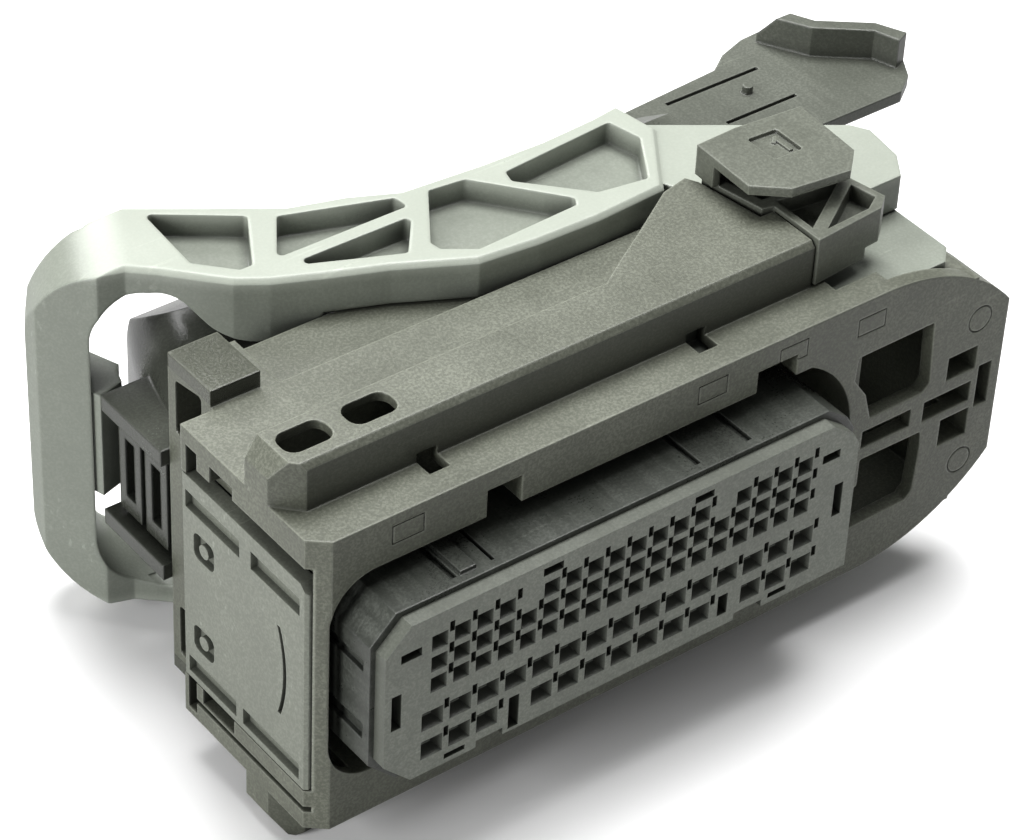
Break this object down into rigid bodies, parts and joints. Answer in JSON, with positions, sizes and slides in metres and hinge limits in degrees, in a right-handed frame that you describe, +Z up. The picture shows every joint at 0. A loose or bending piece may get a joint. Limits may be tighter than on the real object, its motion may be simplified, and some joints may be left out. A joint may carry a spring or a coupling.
{
  "type": "lever-assisted multi-pin cable connector",
  "caption": "Sealed rectangular cable connector with a grid of contact cells, a U-shaped mate-assist lever, a side lock and a rear wire cover.",
  "frame": {"origin": "middle of the underside of the whole connector with the lever closed", "axes": "+X along the contact rows, from the crossbar end to the wing; -Y is the way the contact face looks; +Z up, across the rows"},
  "size_m": [0.1058, 0.0582, 0.0496],
  "materials": {
    "housing_plastic": "fine-textured dark moulded plastic",
    "carrier_plastic": "smooth satin dark moulded plastic",
    "lock_plastic": "satin dark moulded plastic",
    "lever_plastic": "satin light grey moulded plastic",
    "cover_plastic": "matte black moulded plastic",
    "seal_rubber": "soft silicone"
  },
  "bodies": {
    "housing": {"outer_housing": "housing_plastic", "front_plate": "housing_plastic", "contact_carrier": "carrier_plastic", "radial_seal": "seal_rubber", "mat_seal": "seal_rubber", "seal_grid": "carrier_plastic", "wire_cover": "cover_plastic"},
    "lever": {"lever": "lever_plastic"},
    "rack_top": {"slide_top": "lever_plastic"},
    "rack_bottom": {"slide_bottom": "lever_plastic"},
    "lever_lock": {"lever_lock": "lock_plastic"},
    "side_lock": {"side_lock": "lock_plastic"}
  },
  "joints": [
    {"name": "lever_hinge", "type": "hinge", "parent": "housing", "child": "lever", "pos_m": [0.0178, -0.00465, 0.0229], "axis": [0, 0, 1], "range_deg": [-75, 0]},
    {"name": "rack_top_slide", "type": "slide", "parent": "housing", "child": "rack_top", "axis": [1, 0, 0], "range_m": [-0.00721, 0]},
    {"name": "rack_bottom_slide", "type": "slide", "parent": "housing", "child": "rack_bottom", "axis": [1, 0, 0], "range_m": [-0.00721, 0]},
    {"name": "lever_lock_slide", "type": "slide", "parent": "housing", "child": "lever_lock", "axis": [1, 0, 0], "range_m": [0, 0.004]},
    {"name": "side_lock_slide", "type": "slide", "parent": "housing", "child": "side_lock", "axis": [1, 0, 0], "range_m": [-0.003, 0]}
  ],
  "couplings": [
    {"joint": "rack_top_slide", "follows": "lever_hinge", "m_per_rad": 0.0055},
    {"joint": "rack_bottom_slide", "follows": "lever_hinge", "m_per_rad": 0.0055}
  ]
}
